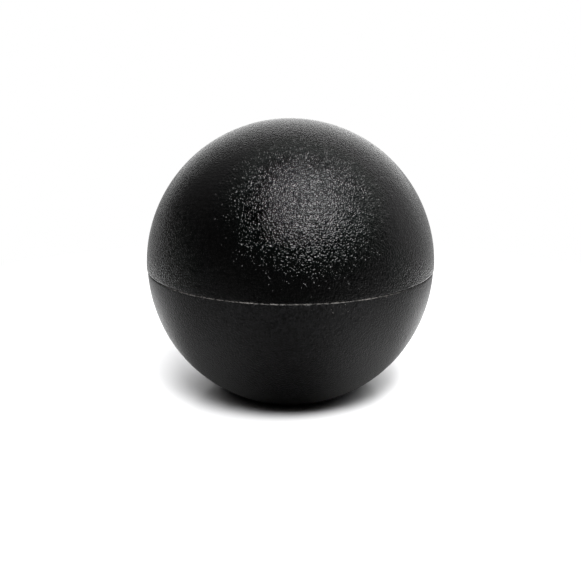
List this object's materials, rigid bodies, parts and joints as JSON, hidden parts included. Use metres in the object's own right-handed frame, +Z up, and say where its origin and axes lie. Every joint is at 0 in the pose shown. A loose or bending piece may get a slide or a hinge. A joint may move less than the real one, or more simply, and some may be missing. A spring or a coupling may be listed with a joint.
{
  "type": "case opening friction ball",
  "caption": "Palm-sized solid rubber ball with a flat foot, made of two cemented half balls; pressed on a screwed watch case back and twisted, it turns the back by friction.",
  "frame": {"origin": "centre of the flat foot, on the surface that the ball stands on", "axes": "+Z points up through the ball's poles; the ball is round about it, so +X and +Y are free"},
  "size_m": [0.068, 0.068, 0.0644],
  "materials": {
    "grained_rubber": "black natural rubber, moulded with a fine pebbled grain, satin",
    "matt_rubber": "black natural rubber, moulded with a finer, duller grain",
    "cured_cement": "thin line of cured grey rubber cement with a trimmed, ragged edge"
  },
  "bodies": {
    "root": {"upper_half": "grained_rubber", "lower_half": "matt_rubber", "joint_cement": "cured_cement"}
  },
  "joints": []
}
